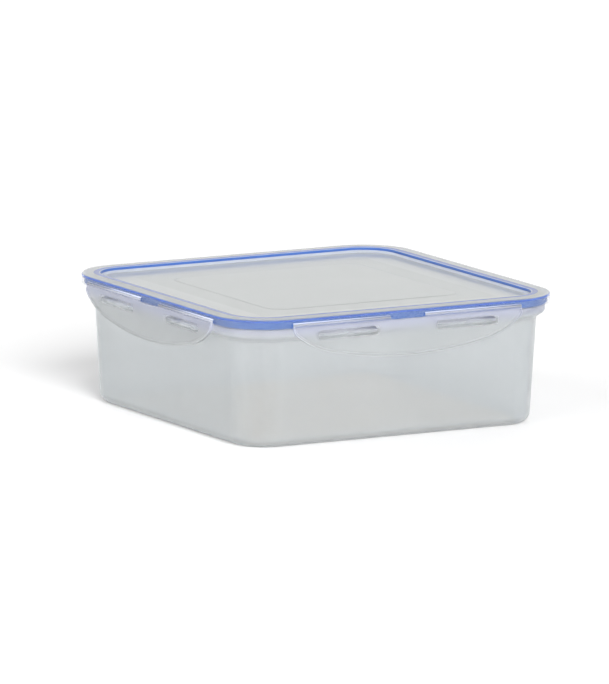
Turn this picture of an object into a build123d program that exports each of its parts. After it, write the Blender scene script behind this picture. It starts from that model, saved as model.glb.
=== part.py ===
"""Square clip-lid food box: a drafted tub, a lid with four hinged flaps, and a soft seal.

Millimetres, +Z up.  The origin is the middle of the foot, on the surface that the box stands on.
The front is the side at -Y.  Every level hangs from the overall height, and every plan outline is a
square with round corners, given by its half width and by how far out its corner arcs are centred.
"""
from build123d import *
import os
from math import radians, tan

# The lid
lid_width = 215.0
lid_corner_radius = 31.4
overall_height = 76.0
lid_wall = 1.3
panel_thickness = 1.5
ridge_width = 10.9
ridge_rise = 3.0
ridge_outer_rounding = 2.2
ridge_inner_chamfer = 0.9
skirt_drop = 5.9
plug_drop = 7.0
plug_wall = 1.4
field_width = 124.0
field_corner_radius = 10.0
field_rise = 0.3

# The tub
rim_inset = 2.75
rim_overhang = 4.95
wall_draft = 3.6
base_rounding = 8.0
floor_rounding = 6.0
wall = 1.5
floor_thickness = 1.6
foot_recess = 0.8
foot_width = 4.5
rim_band = 4.5
rim_flare = 3.4
rim_chamfer = 1.2
rim_edge = 0.9
lip_thickness = 1.8
lip_height = 2.2
lip_setback = 2.2

# The seal
seal_height = 4.3
seal_side_gap = 0.25
seal_top_gap = 0.2
lip_gap = 0.4
seal_chamfer = 0.8

# The flaps and their hinges
flap_end_inset = 1.4
flap_drop = 23.1
flap_thickness = 1.55
flap_gap = 0.3
flap_end_height = 4.27
bow_end_length = 24.7
bow_rise = 5.43
flap_rim_width = 1.6
flap_rim_height = 0.5
flap_rim_end_gap = 0.4
notch_length = 22.6
notch_step = 0.65
slot_length = 40.2
slot_height = 4.4
slot_drop = 4.8
slot_spacing = 77.6
slot_corner_radius = 1.6
hinge_radius = 0.5
hinge_gap = 0.15
ledge_drop = 0.15
hinge_inset = 0.6
hinge_end_gap = 0.3
ledge_width = 0.7
ledge_thickness = 0.55
window_end_gap = 0.4

# The lugs that the flaps snap over
lug_engagement = 0.8
lug_end_gap = 1.0
lug_top_gap = 1.5
lug_bar_gap = 0.77
lug_underside_angle = 35.0
lug_top_slope = 1.1
lug_root = 1.0

# Plan sizes, as half widths
lid_half = lid_width / 2
corner_centre = lid_half - lid_corner_radius
skirt_inner_half = lid_half - lid_wall
ridge_inner_half = lid_half - ridge_width
plug_half = ridge_inner_half + plug_wall
rim_half = lid_half - rim_inset
throat_half = rim_half - rim_overhang
base_half = throat_half - wall_draft
foot_half = base_half - base_rounding
lip_half = rim_half - lip_setback
lip_inner_half = lip_half - lip_thickness

# Levels
ridge_top = overall_height
panel_top = ridge_top - ridge_rise
panel_low = panel_top - panel_thickness
skirt_low = ridge_top - skirt_drop
channel_top = ridge_top - lid_wall
plug_low = panel_top - plug_drop
shoulder = skirt_low - flap_gap
band_low = shoulder - rim_band
throat_level = band_low - rim_flare
lip_top = shoulder + lip_height
floor_level = foot_recess + floor_thickness
seal_top = channel_top - seal_top_gap
seal_low = seal_top - seal_height

# The flaps, out from the middle of the box
flap_inner = lid_half + flap_gap
flap_outer = flap_inner + flap_thickness
hinge_out = flap_outer - hinge_inset
window_top = panel_top - ledge_drop
hinge_top = window_top - hinge_gap
hinge_level = hinge_top - hinge_radius
flap_top = hinge_level - hinge_radius - hinge_gap
flap_low = hinge_top - flap_drop
slot_top = hinge_top - slot_drop
slot_low = slot_top - slot_height
half_flap = corner_centre - flap_end_inset
half_notch = notch_length / 2
half_bow = half_flap - bow_end_length

SIDES = {"front": 0, "right": 90, "back": 180, "left": 270}
CUT = 1.0
HALF_TURN = 180
QUARTER_TURN = 90


def section(*corners):
    """A closed outline seen in section, of (out, level) corners; a third number rounds that corner."""
    face = make_face(Polyline([corner[:2] for corner in corners], close=True))
    for out, level, *rounding in corners:
        if rounding:
            corner = face.vertices().sort_by_distance((out, level, 0))[0]
            face = fillet(corner, rounding[0])
    return face


def carried_round(outline):
    """A section carried round the box: straight along each side, turned about the middle of each corner."""
    face = Plane(origin=(corner_centre, 0, 0), x_dir=(0, -1, 0), z_dir=(-1, 0, 0)) * outline
    side = extrude(face, 2 * corner_centre)
    corner = revolve(face, Axis((corner_centre, -corner_centre, 0), (0, 0, 1)), QUARTER_TURN)
    return Part() + [on_side(side + corner, name) for name in SIDES]


def slab(half, low, high, corner_radius=0.0):
    """A square block, with round corners where a radius is given."""
    width = 2 * half
    square = RectangleRounded(width, width, corner_radius) if corner_radius else Rectangle(width, width)
    return extrude(Pos(0, 0, low) * square, high - low)


def on_side(shape, side):
    """A shape made at the front, turned to another side of the box."""
    return Rot(0, 0, SIDES[side]) * shape


def side_box(start, end, inner, outer, low, high):
    """A block at the front side, between two distances out from the middle of the box."""
    size = Box(end - start, outer - inner, high - low)
    return Pos((start + end) / 2, -(inner + outer) / 2, (low + high) / 2) * size


def make_tub():
    """Thin drafted walls on a foot ring, opening to a flared rim with a lip for the seal."""
    draft = wall_draft / throat_level
    floor_half = base_half + draft * floor_level - wall
    slope = rim_flare / rim_overhang
    step_top = throat_level + slope * (lip_inner_half - throat_half + wall)
    tub = carried_round(section(
        (corner_centre, foot_recess), (foot_half - foot_width, foot_recess), (foot_half - foot_width, 0),
        (base_half, 0, base_rounding), (throat_half, throat_level),
        (rim_half - rim_edge, band_low - rim_edge * slope), (rim_half, band_low + rim_edge),
        (rim_half, shoulder - rim_chamfer), (rim_half - rim_chamfer, shoulder), (lip_half, shoulder),
        (lip_half, lip_top), (lip_inner_half, lip_top), (lip_inner_half, step_top),
        (throat_half - wall, throat_level), (floor_half, floor_level, floor_rounding),
        (corner_centre, floor_level)))
    tub += slab(corner_centre, foot_recess, floor_level)
    for side in SIDES:
        for place in (-slot_spacing / 2, slot_spacing / 2):
            tub += on_side(make_lug(place), side)
    return tub


def make_lug(place):
    """A hooked rib on the rim: sloped on top to part the flap, and underneath to hold it."""
    tip = flap_inner + lug_engagement
    root = rim_half - lug_root
    bar_gap_level = slot_low + lug_bar_gap
    fall = tan(radians(lug_underside_angle))
    tip_low = bar_gap_level + fall * (tip - flap_inner)
    root_low = bar_gap_level - fall * (flap_inner - root)
    tip_top = slot_top - lug_top_gap
    root_top = tip_top + lug_top_slope
    length = slot_length - 2 * lug_end_gap
    rib = section((root, root_low), (tip, tip_low), (tip, tip_top), (root, root_top))
    start = Plane(origin=(place + length / 2, 0, 0), x_dir=(0, -1, 0), z_dir=(-1, 0, 0))
    return extrude(start * rib, length)


def make_lid():
    """A panel inside a hollow ridge that holds the seal, with a plug wall below it."""
    lid = carried_round(section(
        (corner_centre, panel_low), (ridge_inner_half, panel_low), (ridge_inner_half, plug_low),
        (plug_half, plug_low), (plug_half, channel_top),
        (skirt_inner_half, channel_top), (skirt_inner_half, skirt_low), (lid_half, skirt_low),
        (lid_half, ridge_top, ridge_outer_rounding), (ridge_inner_half + ridge_inner_chamfer, ridge_top),
        (ridge_inner_half, ridge_top - ridge_inner_chamfer), (ridge_inner_half, panel_top),
        (corner_centre, panel_top)))
    lid += slab(corner_centre, panel_low, panel_top)
    lid += slab(field_width / 2, panel_top - CUT, panel_top + field_rise, field_corner_radius)
    for side in SIDES:
        for sign in (-1, 1):
            lid += on_side(hinge_ledge(sign), side)
            lid -= on_side(hinge_window(sign), side)
    return lid


def hinge_span(sign, end_gap):
    """Where one hinge strip starts and ends along its side, lower end first."""
    return sorted((sign * (half_notch + end_gap), sign * (half_flap - end_gap)))


def hinge_ledge(sign):
    """The thin ledge that the hinge strip hangs from."""
    start, end = hinge_span(sign, hinge_end_gap)
    return side_box(start, end, lid_half - lid_wall / 2, lid_half + ledge_width, window_top,
                    window_top + ledge_thickness)


def hinge_window(sign):
    """The skirt is cut away behind the hinge, where the top of the flap turns."""
    start, end = hinge_span(sign, -window_end_gap)
    return side_box(start, end, skirt_inner_half - CUT, lid_half + CUT, skirt_low - CUT, window_top)


def make_seal():
    """A soft ring in the ridge, with a groove that the lip of the tub presses into."""
    outer = skirt_inner_half - seal_side_gap
    inner = plug_half + seal_side_gap
    groove_outer = lip_half + lip_gap
    groove_inner = lip_inner_half - lip_gap
    groove_top = lip_top + lip_gap
    return carried_round(section(
        (inner, seal_low), (groove_inner, seal_low), (groove_inner, groove_top), (groove_outer, groove_top),
        (groove_outer, seal_low), (outer, seal_low), (outer, seal_top - seal_chamfer),
        (outer - seal_chamfer, seal_top), (inner, seal_top)))


def flap_outline():
    """The flap seen from outside, its lower edge bowed in one wide arc between two tighter ones."""
    bow_end = flap_low + bow_rise
    bow = ThreePointArc((-half_bow, bow_end), (0, flap_low), (half_bow, bow_end))
    right_end = TangentArc(bow @ 1, (half_flap, flap_top - flap_end_height), tangent=bow % 1)
    left_end = mirror(right_end, Plane.YZ)
    sides = Polyline(right_end @ 1, (half_flap, flap_top), (-half_flap, flap_top), left_end @ 1)
    return make_face([bow, right_end, sides, left_end])


def flap_rim():
    """The strip that stands proud along the flap's ends and lower edge, and stops short of its top."""
    outline = flap_outline()
    top = Rectangle(2 * (half_flap + CUT), 2 * (flap_rim_width + flap_rim_end_gap))
    return outline - offset(outline, -flap_rim_width) - Pos(0, flap_top) * top


def make_flap():
    """A plate with two slots, a raised rim along its lower edge and a notch between its hinges."""
    face = flap_outline()
    face -= Pos(0, flap_top) * Rectangle(notch_length, 2 * notch_step)
    slot = RectangleRounded(slot_length, slot_height, slot_corner_radius)
    for place in (-slot_spacing / 2, slot_spacing / 2):
        face -= Pos(place, slot_low + slot_height / 2) * slot
    front = Plane(origin=(0, -flap_inner, 0), x_dir=(1, 0, 0), z_dir=(0, -1, 0))
    plate = extrude(front * face, flap_thickness)
    return plate + extrude(front * flap_rim(), flap_thickness + flap_rim_height)


def make_hinge():
    """The two bending strips of one flap, each drawn as a half-round bead on the line it bends along."""
    strips = []
    for sign in (-1, 1):
        start, end = hinge_span(sign, hinge_end_gap)
        bead = Rot(HALF_TURN, QUARTER_TURN, 0) * Cylinder(hinge_radius, end - start, arc_size=HALF_TURN)
        strips.append(Pos((start + end) / 2, -hinge_out, hinge_level) * bead)
    return Compound(children=strips)


def write(name, shape):
    """Keeps one piece under its own name."""
    shape.label = name
    export_step(shape, "parts/" + name + ".step")


def main():
    os.makedirs("parts", exist_ok=True)
    write("tub", make_tub())
    write("lid", make_lid())
    write("seal_ring", make_seal())
    flap = make_flap()
    hinge = make_hinge()
    for side in SIDES:
        write("flap_" + side, on_side(flap, side))
        write("hinge_" + side, on_side(hinge, side))


main()
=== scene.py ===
"""Dresses a square food storage box and sets it in a plain studio.

The box is a hazy tub, a clearer lid with a hollow ridge, a soft blue seal inside that ridge, and four
flaps that hang from bending strips and clip over lugs on the tub.  Everything is in metres, +Z up, with
the front at -Y.  Each shape is a section carried round the box or a surface over a grid, worked out as
whole arrays.
"""
import logging
import math
from collections.abc import Callable, Iterable
from dataclasses import dataclass
from enum import Enum

import bpy
import numpy as np
from mathutils import Matrix, Vector


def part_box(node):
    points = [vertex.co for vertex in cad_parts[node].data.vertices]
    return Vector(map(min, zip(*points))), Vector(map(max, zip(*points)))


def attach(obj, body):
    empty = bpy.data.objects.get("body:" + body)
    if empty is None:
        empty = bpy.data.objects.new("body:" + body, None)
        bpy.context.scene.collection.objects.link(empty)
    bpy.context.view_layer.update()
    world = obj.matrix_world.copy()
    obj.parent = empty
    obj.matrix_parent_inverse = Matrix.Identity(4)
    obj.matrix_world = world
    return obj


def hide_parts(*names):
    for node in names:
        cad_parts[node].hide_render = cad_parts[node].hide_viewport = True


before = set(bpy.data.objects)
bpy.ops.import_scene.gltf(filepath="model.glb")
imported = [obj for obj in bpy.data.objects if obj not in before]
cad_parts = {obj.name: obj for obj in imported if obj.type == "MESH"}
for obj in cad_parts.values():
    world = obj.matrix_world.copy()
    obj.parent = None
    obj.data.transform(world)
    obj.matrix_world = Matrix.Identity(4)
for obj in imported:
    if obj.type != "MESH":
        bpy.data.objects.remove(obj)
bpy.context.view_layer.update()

Array = np.ndarray
Socket = bpy.types.NodeSocket
Value = Socket | float | tuple[float, ...]
Colour = tuple[float, float, float]

MM = 0.001
WELD = 1e-6
LEAST_STEP = 5 * WELD
LEAST_BEND = 1e-3
HAZE = "haze"
log = logging.getLogger("food_box")


class Side(Enum):
    """The four sides of the box, by how far each is turned from the front."""

    FRONT = ("front", 0)
    RIGHT = ("right", 90)
    BACK = ("back", 180)
    LEFT = ("left", 270)

    @property
    def label(self) -> str:
        """The word that names this side's pieces."""
        return self.value[0]

    def turned(self, points: Array) -> Array:
        """Points made at the front, turned about Z to this side.

        Args:
            points: An array of (x, y, z) rows.

        Returns:
            The turned points.
        """
        angle = math.radians(self.value[1])
        cos, sin = math.cos(angle), math.sin(angle)
        return points @ np.array([[cos, sin, 0], [-sin, cos, 0], [0, 0, 1]])


@dataclass
class Patch:
    """A surface: points, faces of four corners where a triangle repeats a corner, and haze by point."""

    points: Array
    faces: Array
    haze: Array | None = None

    def __post_init__(self) -> None:
        """Gives every point a haze of 1 where none is stated."""
        if self.haze is None:
            self.haze = np.ones(len(self.points))

    def joined(self, *others: "Patch") -> "Patch":
        """This patch and others as one.

        Args:
            others: The patches to add.

        Returns:
            One patch with the points and faces of all.
        """
        patches = [self, *others]
        starts = np.cumsum([0] + [len(p.points) for p in patches[:-1]])
        return Patch(np.concatenate([p.points for p in patches]),
                     np.concatenate([p.faces + s for p, s in zip(patches, starts)]),
                     np.concatenate([p.haze for p in patches]))

    def welded(self) -> "Patch":
        """This patch with points closer than the weld distance made one.

        Returns:
            A patch with each point once.
        """
        keys = np.round(self.points / WELD).astype(np.int64)
        _, first, inverse = np.unique(keys, axis=0, return_index=True, return_inverse=True)
        return Patch(self.points[first], inverse.reshape(-1)[self.faces], self.haze[first])

    def outward(self) -> "Patch":
        """This closed patch with its faces turned outwards, by the sign of the volume that they enclose.

        Returns:
            The patch itself, or the same with its faces flipped.
        """
        a, b, c, d = (self.points[self.faces[:, i]] for i in range(4))
        volume = np.sum(np.cross(a, b) * c) + np.sum(np.cross(a, c) * d)
        return self if volume > 0 else self.flipped()

    def flipped(self) -> "Patch":
        """This patch with its faces turned the other way."""
        return Patch(self.points, self.faces[:, ::-1], self.haze)

    def closed(self) -> "Patch":
        """This patch welded into a closed shell that faces outwards."""
        return self.welded().outward()

    def on(self, side: Side) -> "Patch":
        """This patch, made at the front, turned to another side."""
        return Patch(side.turned(self.points), self.faces, self.haze)


def grid_faces(rows: int, columns: int, close_rows: bool = False, close_columns: bool = False) -> Array:
    """Faces of a grid of points that are stored row after row.

    Args:
        rows: How many rows of points.
        columns: How many points in each row.
        close_rows: Whether the last row joins the first.
        close_columns: Whether the last point of a row joins its first.

    Returns:
        An array of faces, four point numbers each.
    """
    r = np.arange(rows if close_rows else rows - 1)[:, None]
    c = np.arange(columns if close_columns else columns - 1)[None, :]
    r2, c2 = (r + 1) % rows, (c + 1) % columns
    corners = [r * columns + c, r2 * columns + c, r2 * columns + c2, r * columns + c2]
    return np.stack([np.broadcast_to(k, (r.size, c.size)) for k in corners], axis=-1).reshape(-1, 4)


def smooth(value: Array, low: float, high: float) -> Array:
    """A soft step: 0 below low, 1 above high, and 3t^2 - 2t^3 of the share t between them.

    Args:
        value: What to test.
        low: Where the step starts.
        high: Where it ends.

    Returns:
        The step at each value.
    """
    t = np.clip((value - low) / (high - low), 0, 1)
    return t * t * (3 - 2 * t)


def rounded_line(corners: list[tuple[float, ...]], closed: bool, edge: float, steps: int = 6) -> Array:
    """A section's outline with each corner rounded.

    A corner of radius r turns through the angle p between its two runs.  Its arc starts r tan(p/2)
    before the corner, and its points swing from one radius to the other:
    (sin((1-t)p) v0 + sin(tp) v1) / sin p.  An arc takes up half of the shorter run at most.

    Args:
        corners: (out, level), (out, level, radius) or (out, level, radius, haze) of each corner.
        closed: Whether the outline runs back to its first corner.
        edge: The radius of a corner that states none.
        steps: How many runs each arc is cut into.

    Returns:
        An array of (out, level, haze) rows, where a corner that states no haze has 1.
    """
    places = np.array([corner[:2] for corner in corners], float)
    radii = np.array([corner[2] if len(corner) > 2 else edge for corner in corners])
    haze = np.array([corner[3] if len(corner) > 3 else 1.0 for corner in corners])
    before = places - np.roll(places, 1, axis=0)
    after = np.roll(places, -1, axis=0) - places
    reach = np.minimum(np.linalg.norm(before, axis=1), np.linalg.norm(after, axis=1)) / 2
    before /= np.linalg.norm(before, axis=1)[:, None]
    after /= np.linalg.norm(after, axis=1)[:, None]
    bend = np.maximum(np.arccos(np.clip(np.sum(before * after, axis=1), -1, 1)), LEAST_BEND)
    radii = np.minimum(radii, reach / np.tan(bend / 2))
    hand = np.sign(before[:, 0] * after[:, 1] - before[:, 1] * after[:, 0])
    inward = np.stack([-before[:, 1], before[:, 0]], axis=1) * hand[:, None]
    outward = np.stack([-after[:, 1], after[:, 0]], axis=1) * hand[:, None]
    middle = places - before * (radii * np.tan(bend / 2))[:, None] + inward * radii[:, None]
    t = np.linspace(0, 1, steps + 1)[None, :, None]
    p = bend[:, None, None]
    swing = (np.sin((1 - t) * p) * -inward[:, None] + np.sin(t * p) * -outward[:, None]) / np.sin(p)
    arcs = middle[:, None] + swing * radii[:, None, None]
    arcs = np.concatenate([arcs, np.broadcast_to(haze[:, None, None], (*arcs.shape[:2], 1))], axis=2)
    if closed:
        return arcs.reshape(-1, 3)
    ends = np.column_stack([places, haze])
    return np.concatenate([ends[:1], arcs[1:-1].reshape(-1, 3), ends[-1:]])


@dataclass(frozen=True)
class SquarePath:
    """The way round the box: straight along each side, and turned about the middle of each corner."""

    centre: float
    stops: tuple[float, ...]
    corner_steps: int = 22

    def stations(self) -> tuple[Array, Array, Array]:
        """Where a carried section stands.

        Returns:
            The base point and outward direction of each station, both level, and its place along its
            side, which is past the end of the side at a corner.
        """
        along = np.array(self.stops)
        turn = np.linspace(0, math.pi / 2, self.corner_steps + 1)[1:-1]
        base = np.zeros((len(along) + len(turn), 3))
        base[:, 0] = np.append(along, np.full(len(turn), self.centre))
        base[:, 1] = -self.centre
        angle = np.append(np.zeros(len(along)), turn)
        out = np.stack([np.sin(angle), -np.cos(angle), np.zeros_like(angle)], axis=1)
        place = np.append(along, np.full(len(turn), 2 * self.centre))
        return (np.concatenate([side.turned(base) for side in Side]),
                np.concatenate([side.turned(out) for side in Side]), np.tile(place, len(Side)))

    def carry(self, section: Array, closed: bool, haze: Array | None = None) -> Patch:
        """A section carried round: each point stands at base + direction x (out - centre), at its level.

        Args:
            section: (out, level) rows, or such rows for every station.
            closed: Whether the section runs back to its first point.
            haze: The haze of each point of the section.

        Returns:
            The surface that the section sweeps.
        """
        base, direction, _ = self.stations()
        rows = np.broadcast_to(section, (len(base), *section.shape[-2:]))
        points = base[:, None] + direction[:, None] * (rows[..., :1] - self.centre)
        points[..., 2] = rows[..., 1]
        faces = grid_faces(*rows.shape[:2], close_rows=True, close_columns=closed)
        return Patch(points.reshape(-1, 3), faces, None if haze is None else np.tile(haze, len(base)))

    def middle(self, level: Callable[[Array, Array], Array],
               haze: Callable[[Array, Array], Array] | None = None) -> Patch:
        """The square between the sides, facing up.

        Args:
            level: The height for x and y.
            haze: The haze for x and y, if it isn't 1.

        Returns:
            A grid of faces over the places along the sides.
        """
        x, y = np.meshgrid(self.stops, self.stops, indexing="ij")
        points = np.stack([x, y, level(x, y)], axis=-1).reshape(-1, 3)
        count = len(self.stops)
        return Patch(points, grid_faces(count, count), haze(x, y).reshape(-1) if haze else None)

    def flat(self, level: float) -> Patch:
        """The square between the sides at one level, facing down."""
        return self.middle(lambda x, y: np.full_like(x, level)).flipped()


def stops_of(centre: float, coarse: float, fine: list[tuple[float, float, float]]) -> tuple[float, ...]:
    """Places along a side, denser near what needs it, and the same on both sides of the middle.

    Args:
        centre: How far the side reaches each way.
        coarse: The widest step.
        fine: (place, reach, step) of each stretch that needs closer steps.

    Returns:
        The places in order.
    """
    places = [np.linspace(0, centre, math.ceil(centre / coarse) + 1)]
    places += [np.clip(np.arange(place - reach, place + reach + step / 2, step), 0, centre)
               for place, reach, step in fine]
    half = np.unique(np.round(np.concatenate(places) / WELD) * WELD)
    half = half[np.concatenate([[True], np.diff(half) > LEAST_STEP])]
    half[-1] = centre
    return tuple(np.concatenate([-half[:0:-1], half]))


def bar(section: Array, start: float, end: float) -> Patch:
    """A closed section run along the front side, with flat ends drawn in to the section's middle.

    Args:
        section: The outline's (out, level, haze) rows.
        start: Where along the side it starts.
        end: Where it ends.

    Returns:
        A closed shell.
    """
    count = len(section)
    ring = np.stack([np.zeros(count), -section[:, 0], section[:, 1]], axis=1)
    heart = np.broadcast_to(ring.mean(axis=0), ring.shape)
    rows = [heart + [start, 0, 0], ring + [start, 0, 0], ring + [end, 0, 0], heart + [end, 0, 0]]
    faces = grid_faces(len(rows), count, close_columns=True)
    return Patch(np.concatenate(rows), faces, np.tile(section[:, 2], len(rows))).closed()


class Piece:
    """Makes the mesh objects of the box and lets them ride on its bodies."""

    @staticmethod
    def mesh(name: str, patch: Patch) -> bpy.types.Object:
        """A smooth-shaded object of a patch, at the origin, with its place in its mesh.

        A face with two corners welded together goes in as a triangle, and one with more is left out.

        Args:
            name: The piece's name.
            patch: Its surface.

        Returns:
            The new object.
        """
        faces = patch.faces
        same = faces == np.roll(faces, -1, axis=1)
        doubled = same.sum(axis=1)
        quads = faces[doubled == 0]
        keep = np.array([[1, 2, 3], [0, 2, 3], [0, 1, 3], [0, 1, 2]])
        one = doubled == 1
        triangles = np.take_along_axis(faces[one], keep[np.argmax(same[one], axis=1)], axis=1)
        corners = np.concatenate([quads.reshape(-1), triangles.reshape(-1)])
        sizes = np.concatenate([np.full(len(quads), 4), np.full(len(triangles), 3)])
        mesh = bpy.data.meshes.new(name)
        mesh.vertices.add(len(patch.points))
        mesh.vertices.foreach_set("co", patch.points.astype(np.float32).ravel())
        mesh.loops.add(len(corners))
        mesh.loops.foreach_set("vertex_index", corners.astype(np.int32))
        mesh.polygons.add(len(sizes))
        mesh.polygons.foreach_set("loop_start", (np.cumsum(sizes) - sizes).astype(np.int32))
        mesh.polygons.foreach_set("use_smooth", np.ones(len(sizes), bool))
        veil = mesh.attributes.new(HAZE, "FLOAT", "POINT")
        veil.data.foreach_set("value", patch.haze.astype(np.float32))
        mesh.update(calc_edges=True)
        piece = bpy.data.objects.new(name, mesh)
        bpy.context.scene.collection.objects.link(piece)
        return piece

    @staticmethod
    def fit(piece: bpy.types.Object, node: str, body: str, slot: str, material: bpy.types.Material) -> None:
        """Dresses a piece, lets it stand for a node and ride on a body, and reports it.

        Args:
            piece: The finished object.
            node: The node that it stands for.
            body: The body that it moves with.
            slot: Not used.
            material: Its material.
        """
        piece.data.materials.append(material)
        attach(piece, body)
        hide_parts(node)
        log.info("%s: %d faces, on %s", piece.name, len(piece.data.polygons), body)


@dataclass(frozen=True)
class Measures:
    """The sizes that the pieces share, from the frame and from the box's own wall and gap sizes."""

    ledge_width: float = 0.7 * MM
    corner_radius: float = 31.4 * MM
    lid_wall: float = 1.3 * MM
    panel_thickness: float = 1.5 * MM
    ridge_width: float = 10.9 * MM
    ridge_rise: float = 3.0 * MM
    plug_wall: float = 1.4 * MM
    rim_inset: float = 2.75 * MM
    lip_setback: float = 2.2 * MM
    lip_thickness: float = 1.8 * MM
    half_notch: float = 11.3 * MM
    hinge_end_gap: float = 0.15 * MM
    window_end_gap: float = 0.15 * MM
    slot_spacing: float = 77.6 * MM
    slot_length: float = 40.2 * MM
    slot_height: float = 4.4 * MM
    slot_drop: float = 4.8 * MM
    slot_radius: float = 1.6 * MM
    sink: float = 0.05 * MM

    @property
    def lid_half(self) -> float:
        """From the middle of the box to the outside of the lid's skirt."""
        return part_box("lid")[1].x - self.ledge_width

    @property
    def centre(self) -> float:
        """How far out the middle of each corner's arc lies."""
        return self.lid_half - self.corner_radius

    @property
    def ridge_inner(self) -> float:
        """From the middle to the inside of the ridge, and of the plug wall below it."""
        return self.lid_half - self.ridge_width

    @property
    def plug_outer(self) -> float:
        """From the middle to the outside of the plug wall."""
        return self.ridge_inner + self.plug_wall

    @property
    def rim_half(self) -> float:
        """From the middle to the outside of the tub's rim."""
        return self.lid_half - self.rim_inset

    @property
    def ridge_top(self) -> float:
        """The top of the box."""
        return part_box("lid")[1].z

    @property
    def panel_top(self) -> float:
        """The upper face of the lid's panel."""
        return self.ridge_top - self.ridge_rise

    @property
    def panel_low(self) -> float:
        """The lower face of the lid's panel."""
        return self.panel_top - self.panel_thickness

    @property
    def half_flap(self) -> float:
        """Half of a flap's length."""
        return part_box("flap_front")[1].x

    @property
    def window(self) -> tuple[float, float]:
        """Where the gap in the skirt behind a bending strip starts and ends, from the side's middle."""
        return self.half_notch - self.window_end_gap, self.half_flap + self.window_end_gap

    @property
    def hinge(self) -> tuple[float, float]:
        """Where a bending strip starts and ends, from the side's middle."""
        return self.half_notch + self.hinge_end_gap, self.half_flap - self.hinge_end_gap

    @property
    def slot_top(self) -> float:
        """The upper level of the slots in the flaps."""
        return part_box("hinge_front")[1].z - self.slot_drop

    @property
    def slot_low(self) -> float:
        """The lower level of the slots in the flaps."""
        return self.slot_top - self.slot_height


SIZES = Measures()


@dataclass(frozen=True)
class Wiring:
    """Adds nodes to one tree and links them."""

    tree: bpy.types.NodeTree

    def fill(self, node: bpy.types.Node, inputs: dict[str | int, Value]) -> bpy.types.Node:
        """Gives a node its inputs: a socket is linked, and a plain number or colour is set.

        Args:
            node: The node.
            inputs: Each input by its name or number, with colours as three numbers.

        Returns:
            The node.
        """
        for name, value in inputs.items():
            socket = node.inputs[name]
            if isinstance(value, Socket):
                self.tree.links.new(value, socket)
            else:
                socket.default_value = (*value, 1) if socket.type == "RGBA" else value
        return node

    def add(self, kind: str, inputs: dict[str | int, Value] | None = None) -> bpy.types.Node:
        """A new shader node of a kind, given its inputs."""
        return self.fill(self.tree.nodes.new("ShaderNode" + kind), inputs or {})

    def reckon(self, operation: str, *values: Value, clamp: bool = False) -> Socket:
        """A math node over sockets and plain numbers.

        Args:
            operation: The name of its operation.
            values: What it works on.
            clamp: Whether the result is kept between 0 and 1.

        Returns:
            Its result.
        """
        node = self.add("Math", dict(enumerate(values)))
        node.operation = operation
        node.use_clamp = clamp
        return node.outputs["Value"]

    def mixed(self, factor: Value, under: Value, over: Value) -> Socket:
        """One colour laid over another.

        Args:
            factor: How much of the upper one shows.
            under: The colour below.
            over: The colour on top.

        Returns:
            The mixed colour.
        """
        node = self.add("Mix")
        node.data_type = "RGBA"
        return self.fill(node, {"Factor": factor, "A": under, "B": over}).outputs["Result"]

    def effect(self, recipe: "Recipe", inputs: dict[str, float]) -> Socket:
        """A shared group over the object's own coordinates, made when it is first used.

        Args:
            recipe: Fills the group and gives it its name.
            inputs: What the group is given besides the coordinates, by name.

        Returns:
            The group's value.
        """
        node = self.add("Group")
        node.node_tree = bpy.data.node_groups.get(recipe.__name__) or new_group(recipe, inputs)
        place = self.add("TexCoord").outputs["Object"]
        return self.fill(node, {"Vector": place} | inputs).outputs["Value"]


Recipe = Callable[[Wiring, dict[str, Socket]], Socket]


def new_group(recipe: Recipe, numbers: Iterable[str]) -> bpy.types.NodeTree:
    """Makes a node group that turns a Vector and some numbers into one Value.

    Args:
        recipe: Adds the nodes between the inputs and the value, and gives the group its name.
        numbers: The names of the inputs that are numbers.

    Returns:
        The group.
    """
    group = bpy.data.node_groups.new(recipe.__name__, "ShaderNodeTree")
    group.interface.new_socket("Vector", in_out="INPUT", socket_type="NodeSocketVector")
    for name in numbers:
        group.interface.new_socket(name, in_out="INPUT", socket_type="NodeSocketFloat")
    group.interface.new_socket("Value", in_out="OUTPUT", socket_type="NodeSocketFloat")
    wiring = Wiring(group)
    given = {socket.name: socket for socket in group.nodes.new("NodeGroupInput").outputs}
    wiring.fill(group.nodes.new("NodeGroupOutput"), {"Value": recipe(wiring, given)})
    return group


def new_material(name: str) -> tuple[bpy.types.Material, Wiring, bpy.types.Node]:
    """A new material.

    Args:
        name: Its name.

    Returns:
        The material, the wiring of its nodes and its Principled shader.
    """
    made = bpy.data.materials.new(name)
    made.use_nodes = True
    return made, Wiring(made.node_tree), made.node_tree.nodes["Principled BSDF"]


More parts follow.
